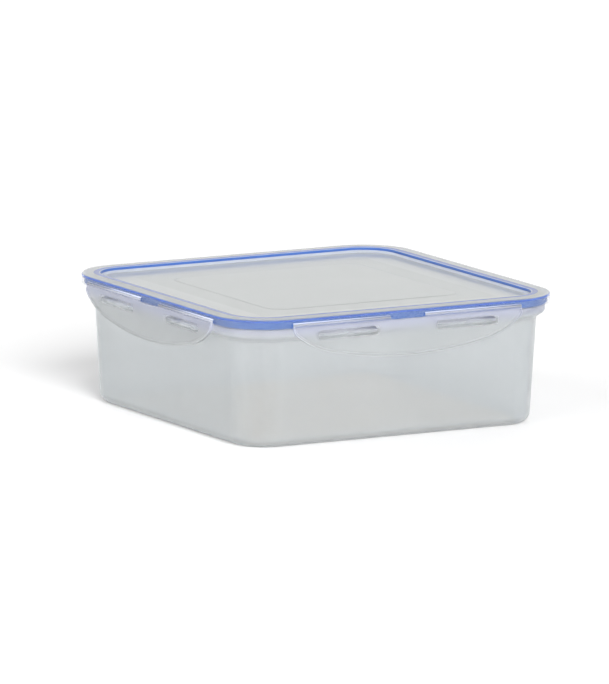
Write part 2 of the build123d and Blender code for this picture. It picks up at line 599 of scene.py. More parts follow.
class Effects:
    """Recipes of the shader groups that finishes share, each over a Vector and the numbers named in it."""

    NOISE_DETAIL = 3.0
    NOISE_LOW = 0.3
    NOISE_HIGH = 0.7

    @staticmethod
    def moulded_cloud(wiring: Wiring, given: dict[str, Socket]) -> Socket:
        """Soft unevenness of a moulded wall: noise, finer with Scale, spread from Low to High.

        Args:
            wiring: Adds the nodes.
            given: The group's inputs by name.

        Returns:
            The spread noise.
        """
        noise = wiring.add("TexNoise", {"Vector": given["Vector"], "Scale": given["Scale"],
                                        "Detail": Effects.NOISE_DETAIL})
        spread = {"Value": noise.outputs["Fac"], "From Min": Effects.NOISE_LOW,
                  "From Max": Effects.NOISE_HIGH, "To Min": given["Low"], "To Max": given["High"]}
        return wiring.add("MapRange", spread).outputs["Result"]

    @staticmethod
    def level_band(wiring: Wiring, given: dict[str, Socket]) -> Socket:
        """A level band: Strength at Level, falling off as exp(-((z - Level) / Reach)^2).

        Args:
            wiring: Adds the nodes.
            given: The group's inputs by name.

        Returns:
            The band's strength.
        """
        height = wiring.add("SeparateXYZ", {"Vector": given["Vector"]}).outputs["Z"]
        away = wiring.reckon("DIVIDE", wiring.reckon("SUBTRACT", height, given["Level"]), given["Reach"])
        power = wiring.reckon("MULTIPLY", wiring.reckon("POWER", away, 2.0), -1.0)
        return wiring.reckon("MULTIPLY", wiring.reckon("EXPONENT", power), given["Strength"])

    @staticmethod
    def seal_stripe(wiring: Wiring, given: dict[str, Socket]) -> Socket:
        """A stripe round the box: 1 from Inner to Outer and from Low to High, with edges as soft as Blur.

        How far out a point is comes from the rounded square that it lies on: Centre, the middle of the
        corner arcs, plus the length of (|x|, |y|) less Centre, where each part counts only above zero.

        Args:
            wiring: Adds the nodes.
            given: The group's inputs by name.

        Returns:
            The stripe's mask.
        """
        place = wiring.add("SeparateXYZ", {"Vector": given["Vector"]}).outputs
        parts = []
        for axis in "XY":
            over = wiring.reckon("SUBTRACT", wiring.reckon("ABSOLUTE", place[axis]), given["Centre"])
            parts.append(wiring.reckon("POWER", wiring.reckon("MAXIMUM", over, 0.0), 2.0))
        out = wiring.reckon("ADD", wiring.reckon("SQRT", wiring.reckon("ADD", *parts)), given["Centre"])
        shares = []
        for value, start, end in ((out, "Inner", "Outer"), (place["Z"], "Low", "High")):
            inside = wiring.reckon("MINIMUM", wiring.reckon("SUBTRACT", value, given[start]),
                                   wiring.reckon("SUBTRACT", given[end], value))
            share = wiring.reckon("DIVIDE", inside, given["Blur"])
            shares.append(wiring.reckon("ADD", share, 0.5, clamp=True))
        return wiring.reckon("MULTIPLY", *shares)


@dataclass(frozen=True)
class Stripe:
    """Where a finish takes another colour, all round the box: limits of the distance out and the level.  The
    box uses it mostly for painted light: the seal's blue seen through the lid, and paler tones where light
    or shade falls.
    """

    inner: float
    outer: float
    low: float
    high: float
    colour: Colour
    blur: float = 0.4 * MM

    def inputs(self) -> dict[str, float]:
        """What its mask is given, by name."""
        return {"Centre": SIZES.centre, "Inner": self.inner, "Outer": self.outer, "Low": self.low,
                "High": self.high, "Blur": self.blur}


@dataclass(frozen=True)
class Haze:
    """A milky see-through plastic, with a painted lavender band beside the seal that stands in for the
    seal's blue light.

    Colours are linear.  One face stops the share haze x (clear + slant x facing + facing^8) of what lies
    behind it, where haze is the piece's own attribute and facing rises from 0 straight on to 1 edge on.
    The plastic scatters light onwards rather than soaking it up, so light passes otherwise than sight
    does: lamp_passing and soft_passing are the shares of what is stopped that a lamp's light and the
    light from other surfaces get back.  A share below 0 stops more of that light than the eye sees.
    """

    name: str
    colour: Colour
    clear: float
    slant: float
    roughness: float
    lamp_passing: float
    soft_passing: float
    depth: float = 4 * MM
    # Painted light: how strongly the seal's blue light is painted on as a lavender band, and that band's
    # level, reach and colour.
    glow: float = 0.0
    glow_level: float = 0.0
    glow_reach: float = 1 * MM
    glow_colour: Colour = (0.34, 0.355, 0.50)
    stripes: tuple[Stripe, ...] = ()
    cloud_scale: float = 18.0
    uneven_colour: float = 0.01
    uneven_alpha: float = 0.02
    uneven_roughness: float = 0.04
    edge_power: float = 8.0

    def material(self) -> bpy.types.Material:
        """Builds the material.

        Returns:
            The material, made of nodes over the object's own coordinates.
        """
        made, wiring, shader = new_material(self.name)
        wiring.fill(shader, {
            "Subsurface Weight": 1.0, "Subsurface Radius": (1.0, 1.0, 1.0), "Subsurface Scale": self.depth,
            "Base Color": self._colour(wiring), "Alpha": self._alpha(wiring),
            "Roughness": self._uneven(wiring, self.roughness, self.uneven_roughness)})
        return made

    def _uneven(self, wiring: Wiring, value: float, share: float) -> Socket:
        """A value that strays softly, up and down, by a share of itself."""
        limits = {"Low": value * (1 - share), "High": value * (1 + share)}
        return wiring.effect(Effects.moulded_cloud, {"Scale": self.cloud_scale} | limits)

    def _colour(self, wiring: Wiring) -> Socket:
        """The plastic's colour, a little uneven, with a painted band of the seal's blue light beside the
        seal, and its stripes.

        Args:
            wiring: Adds the nodes.

        Returns:
            The colour.
        """
        cloud = wiring.effect(Effects.moulded_cloud, {"Scale": self.cloud_scale, "Low": 0.0, "High": 1.0})
        dark, pale = (tuple(c * (1 + sign * self.uneven_colour) for c in self.colour) for sign in (-1, 1))
        result = wiring.mixed(cloud, dark, pale)
        # Painted light: the seal's blue light, laid on as a lavender band round one level.
        if self.glow:
            band = {"Level": self.glow_level, "Reach": self.glow_reach, "Strength": self.glow}
            result = wiring.mixed(wiring.effect(Effects.level_band, band), result, self.glow_colour)
        for stripe in self.stripes:
            mask = wiring.effect(Effects.seal_stripe, stripe.inputs())
            result = wiring.mixed(mask, result, stripe.colour)
        return result

    def _alpha(self, wiring: Wiring) -> Socket:
        """How much each face stops, as the class says.

        Args:
            wiring: Adds the nodes.

        Returns:
            The alpha.
        """
        facing = wiring.add("LayerWeight", {"Blend": 0.5}).outputs["Facing"]
        haze = wiring.add("Attribute")
        haze.attribute_name = HAZE
        even = self._uneven(wiring, self.clear, self.uneven_alpha)
        share = wiring.reckon("ADD", wiring.reckon("MULTIPLY_ADD", facing, self.slant, even),
                              wiring.reckon("POWER", facing, self.edge_power))
        stopped = wiring.reckon("MULTIPLY", haze.outputs["Fac"], share, clamp=True)
        path = wiring.add("LightPath").outputs
        lamp = wiring.reckon("MULTIPLY_ADD", path["Is Shadow Ray"], -self.lamp_passing, 1.0)
        soft = wiring.reckon("MULTIPLY_ADD", path["Is Diffuse Ray"], -self.soft_passing, 1.0)
        return wiring.reckon("MULTIPLY", stopped, wiring.reckon("MULTIPLY", lamp, soft), clamp=True)


@dataclass(frozen=True)
class Rubber:
    """The seal's soft silicone: an even strong colour with a faint sheen and a fine skin."""

    name: str = "seal_silicone"
    deep: Colour = (0.014, 0.069, 0.245)
    pale: Colour = (0.020, 0.082, 0.280)
    roughness: float = 0.42
    skin_scale: float = 60.0

    def material(self) -> bpy.types.Material:
        """Builds the material.

        Returns:
            The material, made of nodes over the object's own coordinates.
        """
        made, wiring, shader = new_material(self.name)
        skin = wiring.effect(Effects.moulded_cloud, {"Scale": self.skin_scale, "Low": 0.0, "High": 1.0})
        wiring.fill(shader, {"Roughness": self.roughness,
                             "Base Color": wiring.mixed(skin, self.deep, self.pale)})
        return made


# Painted light: the tub's floor is painted paler and warmer than its walls, standing in for the light that
# reaches it.
PAINTED_FLOOR_LIGHT = Stripe(0.0, 87.5 * MM, -1.0 * MM, 3.2 * MM, (0.62, 0.555, 0.475))


@dataclass(frozen=True)
class Tub:
    """The container: drafted walls on a foot ring, a flared rim with a lip, and eight lugs."""

    wall: float = 1.5 * MM
    floor_thickness: float = 1.6 * MM
    foot_recess: float = 0.8 * MM
    foot_width: float = 4.5 * MM
    base_rounding: float = 8.0 * MM
    floor_rounding: float = 6.0 * MM
    overhang: float = 4.95 * MM
    draft: float = 3.6 * MM
    throat_rounding: float = 2 * MM
    mouth_rounding: float = 1.5 * MM
    rim_band: float = 4.5 * MM
    rim_flare: float = 3.4 * MM
    rim_rounding: float = 1.6 * MM
    lip_height: float = 2.2 * MM
    lip_rounding: float = 0.5 * MM
    edge: float = 0.25 * MM
    arc_steps: int = 8
    gate_radius: float = 2.6 * MM
    gate_depth: float = 0.35 * MM
    gate_slope: float = 0.2
    gate_stretch: tuple[float, float] = (5 * MM, 0.4 * MM)
    coarse_step: float = 8 * MM
    lug_foot: float = 1.2 * MM
    lug_toe: float = 1.33 * MM
    lug_shoulder: float = 1.5 * MM
    lug_crown: float = 0.4 * MM
    lug_rounding: float = 0.3 * MM
    lug_end_gap: float = 1 * MM
    lug_haze: float = 0.6
    # The finish paints the seal's blue light on the rim as a lavender band.
    finish: Haze = Haze("tub_plastic", (0.45, 0.475, 0.487), clear=0.27, slant=0.50, roughness=0.34,
                        lamp_passing=-0.20, soft_passing=0.65, stripes=(PAINTED_FLOOR_LIGHT,), glow=0.60,
                        glow_level=68.5 * MM, glow_reach=3.0 * MM)

    @property
    def floor_top(self) -> float:
        """The level of the floor's upper face."""
        return self.foot_recess + self.floor_thickness

    def section(self) -> Array:
        """The wall's section, from the middle of the underside round the rim to the floor.

        Returns:
            (out, level, haze) rows.
        """
        lip_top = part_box("tub")[1].z
        shoulder = lip_top - self.lip_height
        band_low = shoulder - self.rim_band
        throat_level = band_low - self.rim_flare
        rim = SIZES.rim_half
        throat = rim - self.overhang
        base = throat - self.draft
        floor_half = base + self.draft / throat_level * self.floor_top - self.wall
        foot_inner = base - self.base_rounding - self.foot_width
        lip = rim - SIZES.lip_setback
        lip_inner = lip - SIZES.lip_thickness
        step_top = throat_level + self.rim_flare / self.overhang * (lip_inner - throat + self.wall)
        corners = [(SIZES.centre, self.foot_recess), (foot_inner, self.foot_recess), (foot_inner, 0),
                   (base, 0, self.base_rounding), (throat, throat_level, self.throat_rounding),
                   (rim, band_low, self.rim_rounding), (rim, shoulder, self.rim_rounding),
                   (lip, shoulder, self.lip_rounding), (lip, lip_top, self.lip_rounding),
                   (lip_inner, lip_top, self.lip_rounding), (lip_inner, step_top, self.mouth_rounding),
                   (throat - self.wall, throat_level, self.throat_rounding),
                   (floor_half, self.floor_top, self.floor_rounding), (SIZES.centre, self.floor_top)]
        return rounded_line(corners, False, self.edge, self.arc_steps)

    def floor_level(self, x: Array, y: Array) -> Array:
        """The floor's height: flat, with the sunk ring that the moulding gate leaves in its middle.

        Args:
            x: Places across.
            y: Places along.

        Returns:
            The height at each place.
        """
        reach = np.hypot(x, y)
        inner, outer = (self.gate_radius * (1 + sign * self.gate_slope) for sign in (-1, 1))
        ring = smooth(reach, inner, self.gate_radius) * (1 - smooth(reach, self.gate_radius, outer))
        return self.floor_top - self.gate_depth * ring

    def lug(self, place: float) -> Patch:
        """One hooked rib on the rim, sloped on top and underneath.

        Args:
            place: The middle of the rib along its side.

        Returns:
            A closed shell at the front.
        """
        tip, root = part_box("tub")[1].x, SIZES.rim_half - SIZES.sink
        low, top = SIZES.slot_low, SIZES.slot_top
        outline = [(out, level, self.lug_rounding, self.lug_haze) for out, level in (
            (root, low - self.lug_foot), (tip, low + self.lug_toe),
            (tip, top - self.lug_shoulder), (root, top - self.lug_crown))]
        half = SIZES.slot_length / 2 - self.lug_end_gap
        return bar(rounded_line(outline, True, self.edge), place - half, place + half)

    def build(self) -> None:
        """Makes the tub and puts it in the scene."""
        path = SquarePath(SIZES.centre, stops_of(SIZES.centre, self.coarse_step, [(0, *self.gate_stretch)]))
        section = self.section()
        wall = path.carry(section[:, :2], False, section[:, 2])
        shell = wall.joined(path.middle(self.floor_level), path.flat(self.foot_recess))
        lugs = [self.lug(sign * SIZES.slot_spacing / 2).on(side) for side in Side for sign in (-1, 1)]
        piece = Piece.mesh("tub_shell", shell.closed().joined(*lugs))
        Piece.fit(piece, "tub", "tub", "clear_plastic", self.finish.material())


@dataclass(frozen=True)
class Seal:
    """The soft ring in the ridge, with a groove for the lip of the tub."""

    side_gap: float = 0.25 * MM
    lip_gap: float = 0.4 * MM
    shoulder: float = 1.2 * MM
    edge: float = 0.3 * MM
    coarse_step: float = 20 * MM
    finish: Rubber = Rubber()

    def build(self) -> None:
        """Makes the seal and puts it in the scene."""
        low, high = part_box("seal_ring")
        inner, outer = SIZES.plug_outer + self.side_gap, high.x
        lip = SIZES.rim_half - SIZES.lip_setback
        groove_outer, groove_inner = lip + self.lip_gap, lip - SIZES.lip_thickness - self.lip_gap
        groove_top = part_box("tub")[1].z + self.lip_gap
        corners = [(inner, low.z), (groove_inner, low.z), (groove_inner, groove_top),
                   (groove_outer, groove_top), (groove_outer, low.z), (outer, low.z),
                   (outer, high.z, self.shoulder), (inner, high.z)]
        path = SquarePath(SIZES.centre, stops_of(SIZES.centre, self.coarse_step, []))
        ring = path.carry(rounded_line(corners, True, self.edge)[:, :2], True).closed()
        Piece.fit(Piece.mesh("blue_seal", ring), "seal_ring", "lid", "seal_rubber", self.finish.material())


@dataclass(frozen=True)
class Lid:
    """The cover: a panel with a shallow raised field, inside a hollow ridge with a skirt and a plug wall.

    The ridge is polished and clear and the panel is hazier, so each part of the section states its haze.
    """

    skirt_drop: float = 5.9 * MM
    outer_rounding: float = 2.2 * MM
    inner_rounding: float = 1.1 * MM
    plug_rounding: float = 0.5 * MM
    channel_rounding: float = 0.4 * MM
    channel_side: float = 0.6 * MM
    skirt_rounding: float = 0.35 * MM
    crest_gap: float = 0.2 * MM
    stripe_width: float = 4.0 * MM
    stripe_fade: float = 0.4 * MM
    root_height: float = 1.1 * MM
    root_fade: float = 0.5 * MM
    root_rounding: float = 0.6 * MM
    border_width: float = 1.2 * MM
    field_half: float = 62.0 * MM
    field_radius: float = 10 * MM
    field_rise: float = 0.3 * MM
    field_edge: float = 0.9 * MM
    ledge_thickness: float = 0.55 * MM
    ledge_drop: float = 0.15 * MM
    ledge_rounding: float = 0.2 * MM
    window_softness: float = 0.12 * MM
    edge: float = 0.2 * MM
    arc_steps: int = 7
    coarse_step: float = 8 * MM
    window_stretch: tuple[float, float] = (0.24 * MM, 0.06 * MM)
    edge_stretch: tuple[float, float] = (1.8 * MM, 0.3 * MM)
    corner_stretch: tuple[float, float] = (9 * MM, 1 * MM)
    polished: float = 0.18
    skirt_haze: float = 0.12
    rounding_haze: float = 0.60
    crest_haze: float = 0.55
    stripe_haze: float = 0.65
    root_haze: float = 1.10
    ledge_haze: float = 1.80
    panel_haze: float = 0.66
    surround_haze: float = 0.64
    border_haze: float = 1.2
    wall_haze: float = 4.0
    plug_haze: float = 3.0
    ceiling_haze: float = 2.5

    @property
    def finish(self) -> Haze:
        """The lid's plastic, with painted stripes of the seal's blue where it shows through the clear ridge,
        a pale root, and a painted pale tone that lifts the shade on the plug.

        In turn they are the skirt, the root of the ridge's inner wall, the near edge of the ridge's top,
        the inner wall's upper part, the outer rounding, and the underside of the panel with the plug.

        Returns:
            The finish.
        """
        s = SIZES
        inner, outer, top = s.ridge_inner, s.lid_half, s.ridge_top
        stripes = (
            # Painted: the seal's blue as it shows through the clear skirt, the ridge's top, its inner wall
            # and its outer rounding.
            Stripe(outer - 0.4 * MM, outer + 1.2 * MM, top - 8 * MM, top - 1.2 * MM, (0.44, 0.47, 0.66)),
            Stripe(inner - 1 * MM, inner + 0.9 * MM, top - 3.2 * MM, top - 1.5 * MM, (0.50, 0.53, 0.60)),
            Stripe(inner + 0.8 * MM, inner + self.stripe_width, top - 0.5 * MM, top + 1 * MM,
                   (0.08, 0.13, 0.36)),
            Stripe(inner - 1 * MM, inner + 1 * MM, top - 1.7 * MM, top - 0.1 * MM, (0.05, 0.12, 0.36)),
            Stripe(outer - 1.9 * MM, outer + 0.2 * MM, top - 1.8 * MM, top - 0.35 * MM, (0.04, 0.11, 0.42)),
            # Painted light: a pale tone that lifts the shade on the plug wall and the panel's underside.
            Stripe(inner - 1 * MM, s.plug_outer + 0.5 * MM, 0, s.panel_low, (0.80, 0.83, 0.85)))
        return Haze("lid_plastic", (0.39, 0.41, 0.405), clear=0.60, slant=0.75, roughness=0.18,
                    lamp_passing=0.45, soft_passing=0.85, cloud_scale=9.0, stripes=stripes)

    def section(self) -> Array:
        """The lid's section, from the panel's underside round the plug wall and ridge to its upper face.

        Returns:
            (out, level, haze) rows.
        """
        s = SIZES
        low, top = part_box("lid")[0].z, s.ridge_top
        inner, outer = s.ridge_inner, s.lid_half
        stripe_end = inner + self.stripe_width
        channel = top - s.lid_wall
        skirt_inner, skirt_low = outer - s.lid_wall, top - self.skirt_drop
        root = s.panel_top + self.root_height
        corners = [(s.centre, s.panel_low), (inner, s.panel_low, self.plug_rounding, self.plug_haze),
                   (inner, low, self.edge, self.plug_haze), (s.plug_outer, low, self.plug_rounding),
                   (s.plug_outer, channel, self.channel_rounding, self.ceiling_haze),
                   (skirt_inner, channel, self.channel_rounding, self.ceiling_haze),
                   (skirt_inner, channel - self.channel_side, 0, self.polished),
                   (skirt_inner, skirt_low, self.edge, self.polished),
                   (outer, skirt_low, self.skirt_rounding, self.skirt_haze),
                   (outer, top - self.outer_rounding, 0, self.skirt_haze),
                   (outer, top, self.outer_rounding, self.rounding_haze),
                   (outer - self.outer_rounding - self.crest_gap, top, 0, self.crest_haze),
                   (stripe_end, top, 0, self.crest_haze),
                   (stripe_end - self.stripe_fade, top, 0, self.stripe_haze),
                   (inner, top, self.inner_rounding, self.wall_haze),
                   (inner, root + self.root_fade, 0, self.wall_haze), (inner, root, 0, self.root_haze),
                   (inner, s.panel_top, self.root_rounding, self.root_haze),
                   (inner - self.border_width, s.panel_top, 0, self.border_haze),
                   (s.centre, s.panel_top, 0, self.surround_haze)]
        return rounded_line(corners, False, self.edge, self.arc_steps)

    def windowed(self, section: Array, place: Array) -> Array:
        """The section at each station, with the skirt cut short behind the bending strips.

        Below the ridge's rounding, the skirt's height is squeezed to what the window leaves.

        Args:
            section: (out, level) rows.
            place: Each station's place along its side.

        Returns:
            (out, level) rows for every station.
        """
        s = SIZES
        top, skirt_low = s.ridge_top - self.outer_rounding, s.ridge_top - self.skirt_drop
        inner, outer = s.window
        soft, away = self.window_softness, np.abs(place)
        opened = smooth(away, inner - soft, inner + soft) * (1 - smooth(away, outer - soft, outer + soft))
        skirt = (section[:, 0] > s.lid_half - 1.5 * s.lid_wall) & (section[:, 1] < top)
        rows = np.repeat(section[None], len(place), axis=0)
        cut = s.panel_top - self.ledge_drop - skirt_low
        rows[:, skirt, 1] = top - (top - section[skirt, 1]) * (1 - opened[:, None] * cut / (top - skirt_low))
        return rows

    def in_field(self, x: Array, y: Array) -> Array:
        """How far each point has risen to the field, from 0 outside its rounded square to 1 within it.

        Args:
            x: Places across.
            y: Places along.

        Returns:
            The share of the rise at each place.
        """
        over = np.maximum(np.abs(np.stack([x, y])) - (self.field_half - self.field_radius), 0)
        away = np.hypot(*over) - self.field_radius
        return 1 - smooth(away, -self.field_edge, self.field_edge)

    def panel_level(self, x: Array, y: Array) -> Array:
        """The panel's upper face: flat, rising by a soft step to the field."""
        return SIZES.panel_top + self.field_rise * self.in_field(x, y)

    def panel_veil(self, x: Array, y: Array) -> Array:
        """The panel's haze, which is stronger in the field."""
        return self.surround_haze + (self.panel_haze - self.surround_haze) * self.in_field(x, y)

    def ledge(self, sign: int) -> Patch:
        """The thin ledge that one bending strip hangs from.

        Args:
            sign: Which half of the side it is on.

        Returns:
            A closed shell at the front.
        """
        low = SIZES.panel_top - self.ledge_drop
        high = low + self.ledge_thickness
        outer, inner = SIZES.lid_half + SIZES.ledge_width, SIZES.lid_half - SIZES.sink
        corners = [(place, level, self.ledge_rounding, self.ledge_haze) for place, level in
                   ((inner, low), (outer, low), (outer, high), (inner, high))]
        return bar(rounded_line(corners, True, self.edge), *sorted(sign * end for end in SIZES.hinge))

    def build(self) -> None:
        """Makes the lid and puts it in the scene."""
        fine = [(end, *self.window_stretch) for end in SIZES.window]
        fine += [(self.field_half, *self.edge_stretch)]
        fine += [(self.field_half - self.field_radius, *self.corner_stretch)]
        path = SquarePath(SIZES.centre, stops_of(SIZES.centre, self.coarse_step, fine))
        section = self.section()
        rows = self.windowed(section[:, :2], path.stations()[2])
        upper = path.middle(self.panel_level, self.panel_veil)
        shell = path.carry(rows, False, section[:, 2]).joined(upper, path.flat(SIZES.panel_low)).closed()
        ledges = [self.ledge(sign).on(side) for side in Side for sign in (-1, 1)]
        piece = Piece.mesh("lid_shell", shell.joined(*ledges))
        Piece.fit(piece, "lid", "lid", "lid_plastic", self.finish.material())


RIM_STEPS = (0, 0.04, 0.12, 0.24, 0.4, 0.8, 1.2, 1.5, 1.8, 2.1)
TOP_STEPS = RIM_STEPS[:5]
END_STEPS = (0, 0.04, 0.12, 0.24, 0.4, 0.7, 1.0, 1.3, 1.6, 1.9, 2.3)
RING_SHARES = (0, 0.03, 0.08, 0.16, 0.3, 0.6, 1.0)


@dataclass(frozen=True)
class Flap:
    """A locking flap and its two bending strips.

    Its rows stand closest at its edges: RIM_STEPS and TOP_STEPS are their distances in millimetres from
    the lower and the upper edge, and END_STEPS those of its columns from an end.  RING_SHARES are how far
    each ring of points lies from a slot's outline towards the rectangular cell round it.
    """

    side: Side
    rim_width: float = 1.6 * MM
    rim_height: float = 0.5 * MM
    rim_fall: tuple[float, float] = (-0.35 * MM, 0.25 * MM)
    rim_end_drop: float = 2.0 * MM
    rim_end_fade: float = 0.8 * MM
    bow_rise: float = 5.43 * MM
    bow_end_length: float = 24.7 * MM
    end_height: float = 4.27 * MM
    end_rounding: float = 2.5 * MM
    end_lift: float = 0.6
    end_squeeze: float = 0.55
    end_gap: float = 0.2 * MM
    top_reach: float = 1.2 * MM
    notch_step: float = 0.65 * MM
    notch_radius: float = 2.7 * MM
    rounding: float = 0.35 * MM
    cell_margin: float = 1.5 * MM
    bead_radius: float = 0.6 * MM
    bead_sides: int = 24
    slope_samples: int = 1500
    bead_haze: float = 2.0
    edge_haze: float = 2.2
    slot_haze: float = 0.1
    # The finish paints the seal's blue light as a lavender band along the flap's upper part.
    finish: Haze = Haze("flap_plastic", (0.325, 0.34, 0.345), clear=0.29, slant=0.30, roughness=0.24,
                        lamp_passing=0.95, soft_passing=0.95, glow=0.50, glow_level=69.5 * MM,
                        glow_reach=4.5 * MM)

    @property
    def cell(self) -> tuple[float, float]:
        """Where the rectangular cell round a slot starts and ends, from the flap's middle."""
        reach = SIZES.slot_length / 2 + self.cell_margin
        return SIZES.slot_spacing / 2 - reach, SIZES.slot_spacing / 2 + reach

    def low_edge(self, x: Array) -> Array:
        """The bowed lower edge: a wide arc, then a tighter one that leaves it smoothly, then a soft end.

        An arc of half length a and rise h has radius (a^2 + h^2) / 2h.  The tighter arc starts at the
        slope of the wide one's end, and its radius is the one that also meets the flap's short end.

        Args:
            x: Places along the flap.

        Returns:
            The edge's height at each place.
        """
        low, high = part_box("flap_front")
        away = np.abs(x)
        half_bow = high.x - self.bow_end_length
        radius = (half_bow ** 2 + self.bow_rise ** 2) / (2 * self.bow_rise)
        wide = low.z + radius - np.sqrt(radius ** 2 - np.minimum(away, half_bow) ** 2)
        sine = half_bow / radius
        cosine = math.sqrt(1 - sine ** 2)
        climb = high.z - self.end_height - low.z - self.bow_rise
        lean = climb * cosine - self.bow_end_length * sine
        end_radius = (self.bow_end_length ** 2 + climb ** 2) / (2 * lean)
        over = sine + np.maximum(away - half_bow, 0) / end_radius
        soft = np.clip((away - high.x + self.end_rounding) / self.end_rounding, 0, 1)
        lift = self.end_lift * self.end_rounding * (1 - np.sqrt(1 - soft ** 2))
        return wide + end_radius * (cosine - np.sqrt(1 - over ** 2)) + lift

    def top_edge(self, x: Array) -> Array:
        """The straight top, with a notch between the strips whose lower corners are round."""
        inside = np.clip((SIZES.half_notch - np.abs(x)) / self.notch_radius, 0, 1)
        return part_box("flap_front")[1].z - self.notch_step * np.sqrt(1 - (1 - inside) ** 2)

    def slot_line(self, share: Array) -> Array:
        """Points round a slot outline that is centred at zero.

        Share runs round the outline from the middle of its lower left corner: 0 to 1 along the bottom, 1
        to 2 up the right, 2 to 3 back along the top and 3 to 4 down the left.

        Args:
            share: Where each point lies.

        Returns:
            (x, z) rows.
        """
        radius = SIZES.slot_radius
        half = np.array([SIZES.slot_length, SIZES.slot_height]) / 2
        straight = half - radius
        turns = np.linspace(0, math.pi / 4, 9)[::-1]
        lines = []
        for quarter in range(4):
            long, across = (straight[0], half[1]) if quarter % 2 == 0 else (straight[1], half[0])
            left = np.stack([-long - radius * np.sin(turns), -across + radius * (1 - np.cos(turns))], axis=1)
            line = np.concatenate([left, left[::-1] * [-1, 1]])
            length = np.concatenate([[0], np.cumsum(np.linalg.norm(np.diff(line, axis=0), axis=1))])
            local = np.clip(share - quarter, 0, 1) * length[-1]
            point = np.stack([np.interp(local, length, line[:, i]) for i in (0, 1)], axis=1)
            cos, sin = math.cos(quarter * math.pi / 2), math.sin(quarter * math.pi / 2)
            lines.append(point @ np.array([[cos, sin], [-sin, cos]]))
        return np.stack(lines)[np.minimum(share.astype(int), 3), np.arange(len(share))]

    def from_slots(self, x: Array, z: Array) -> Array:
        """How far each point is from the nearer slot's outline, by the distance to a rounded rectangle.

        Args:
            x: Places along the flap.
            z: Heights.

        Returns:
            The distances, which are below zero inside a slot.
        """
        s = SIZES
        across = np.abs(np.abs(x) - s.slot_spacing / 2) - s.slot_length / 2 + s.slot_radius
        up = np.abs(z - (s.slot_low + s.slot_top) / 2) - s.slot_height / 2 + s.slot_radius
        return np.hypot(np.maximum(across, 0), np.maximum(up, 0)) - s.slot_radius

    def columns(self) -> tuple[Array, Array]:
        """Places along the flap, closest at its ends, its notch and the ends of the cells.

        Returns:
            The places, and the numbers of those where a cell or the flap starts or ends.
        """
        inner, outer = self.cell
        near = SIZES.half_flap - np.array(END_STEPS) * MM
        last = np.concatenate([outer + (near[-1] - outer) * np.linspace(0, 1, 10)[:-1], near[::-1]])
        over_cell = inner + (outer - inner) * (1 - np.cos(np.linspace(0, math.pi, 31))) / 2
        corner = SIZES.half_notch - self.notch_radius * (1 - np.cos(np.linspace(0, math.pi / 2, 7)))
        middle = np.concatenate([np.linspace(0, corner[-1], 5)[:-1], corner[::-1],
                                 np.linspace(SIZES.half_notch, inner, 5)[1:]])
        half_row = np.concatenate([middle[:-1], over_cell[:-1], last])
        row = np.concatenate([-half_row[:0:-1], half_row])
        marks = [np.argmin(np.abs(row - place)) for place in (-outer, -inner, inner, outer)]
        return row, np.array([0, *marks, len(row) - 1])

    def face(self) -> Patch:
        """The flap's outline filled with faces round its two slots.

        Returns:
            The faces over (x, 0, z) points.
        """
        x, marks = self.columns()
        slot_low, slot_top, margin = SIZES.slot_low, SIZES.slot_top, self.cell_margin
        low, top = self.low_edge(x), self.top_edge(x)
        share = np.clip((np.abs(x) - self.cell[1]) / (SIZES.half_flap - self.cell[1]), 0, 1)
        near = np.array(RIM_STEPS)[:, None] * MM * (1 - self.end_squeeze * share)
        end_level = low[0] + near[-1, 0] + self.end_gap
        below = slot_low - margin + share * (end_level - slot_low + margin)
        above = slot_top + margin + share * ((end_level + top[0]) / 2 - slot_top - margin)
        rise = np.linspace(0, 1, 7)[1:, None]
        lower = np.concatenate([low + near, low + near[-1] + (below - low - near[-1]) * rise])
        between = below + (above - below) * (1 - np.cos(np.linspace(0, math.pi, 13)))[:, None] / 2
        edge = np.array(TOP_STEPS)[:, None] * MM * np.minimum(1, (top - above) / self.top_reach)
        rise = np.linspace(0, 1, 4)[:-1, None]
        upper = np.concatenate([above + (top - edge[-1] - above) * rise, top - edge[::-1]])
        blocks = [self._strip(x, lower), self._strip(x, upper)]
        for first in (0, 2, 4):
            part = slice(marks[first], marks[first + 1] + 1)
            blocks.append(self._strip(x[part], between[:, part]))
        for first, sign in ((1, -1), (3, 1)):
            part = slice(marks[first], marks[first + 1] + 1)
            blocks.append(self._cell(x[part], between[:, marks[first]], sign * SIZES.slot_spacing / 2))
        return blocks[0].joined(*blocks[1:]).welded()

    @staticmethod
    def _strip(x: Array, rows: Array) -> Patch:
        """A block of faces between rows of heights over the same places, seen from its back."""
        points = np.stack([np.broadcast_to(x, rows.shape), np.zeros(rows.shape), rows], axis=-1)
        return Patch(points.reshape(-1, 3), grid_faces(*rows.shape))

    def _cell(self, x: Array, z: Array, middle: float) -> Patch:
        """The faces between a slot's outline and its rectangular cell, ring after ring.

        Args:
            x: Places along the cell's lower edge.
            z: Heights up its side.
            middle: The slot's middle along the flap.

        Returns:
            The ring-shaped block.
        """
        border = np.concatenate([np.stack([x, np.full_like(x, z[0])], 1)[:-1],
                                 np.stack([np.full_like(z, x[-1]), z], 1)[:-1],
                                 np.stack([x[::-1], np.full_like(x, z[-1])], 1)[:-1],
                                 np.stack([np.full_like(z, x[0]), z[::-1]], 1)[:-1]])
        u, v = (x - x[0]) / (x[-1] - x[0]), (z - z[0]) / (z[-1] - z[0])
        share = np.concatenate([u[:-1], 1 + v[:-1], 3 - u[::-1][:-1], 4 - v[::-1][:-1]])
        slot = self.slot_line(share) + [middle, (SIZES.slot_low + SIZES.slot_top) / 2]
        blend = np.array(RING_SHARES)[:, None, None]
        rings = slot * (1 - blend) + border * blend
        points = np.stack([rings[..., 0], np.zeros(rings.shape[:2]), rings[..., 1]], axis=-1)
        return Patch(points.reshape(-1, 3), grid_faces(*rings.shape[:2], close_columns=True)[:, ::-1])

